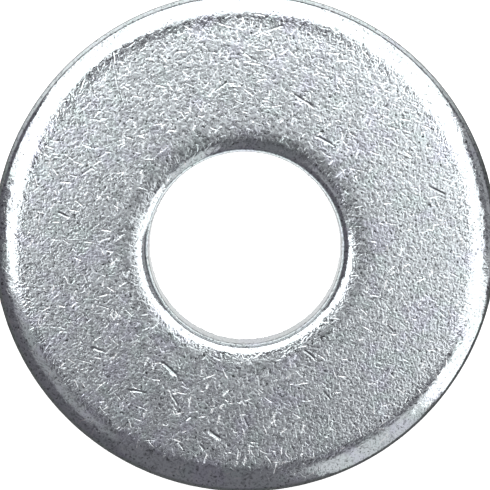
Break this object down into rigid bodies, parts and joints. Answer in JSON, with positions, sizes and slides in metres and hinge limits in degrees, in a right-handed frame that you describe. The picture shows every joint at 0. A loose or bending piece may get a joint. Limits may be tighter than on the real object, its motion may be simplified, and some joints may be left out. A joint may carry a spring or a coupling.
{
  "type": "flat washer",
  "caption": "Plain round flat washer in zinc-plated steel, with rolled edges at its rim and bore and a wide flat bearing face.",
  "frame": {"origin": "centre of the bore, in the plane of the seating face", "axes": "+Z along the bore axis, from the seating face towards the show face with the rolled edges; the ring is the same all round, so X and Y are free"},
  "size_m": [0.0186, 0.0186, 0.0016],
  "materials": {
    "zinc_plate": "zinc plated low-carbon steel, tumbled: matte silver with fine random scratches, brighter on the rolled edges"
  },
  "bodies": {
    "root": {"washer": "zinc_plate"}
  },
  "joints": []
}
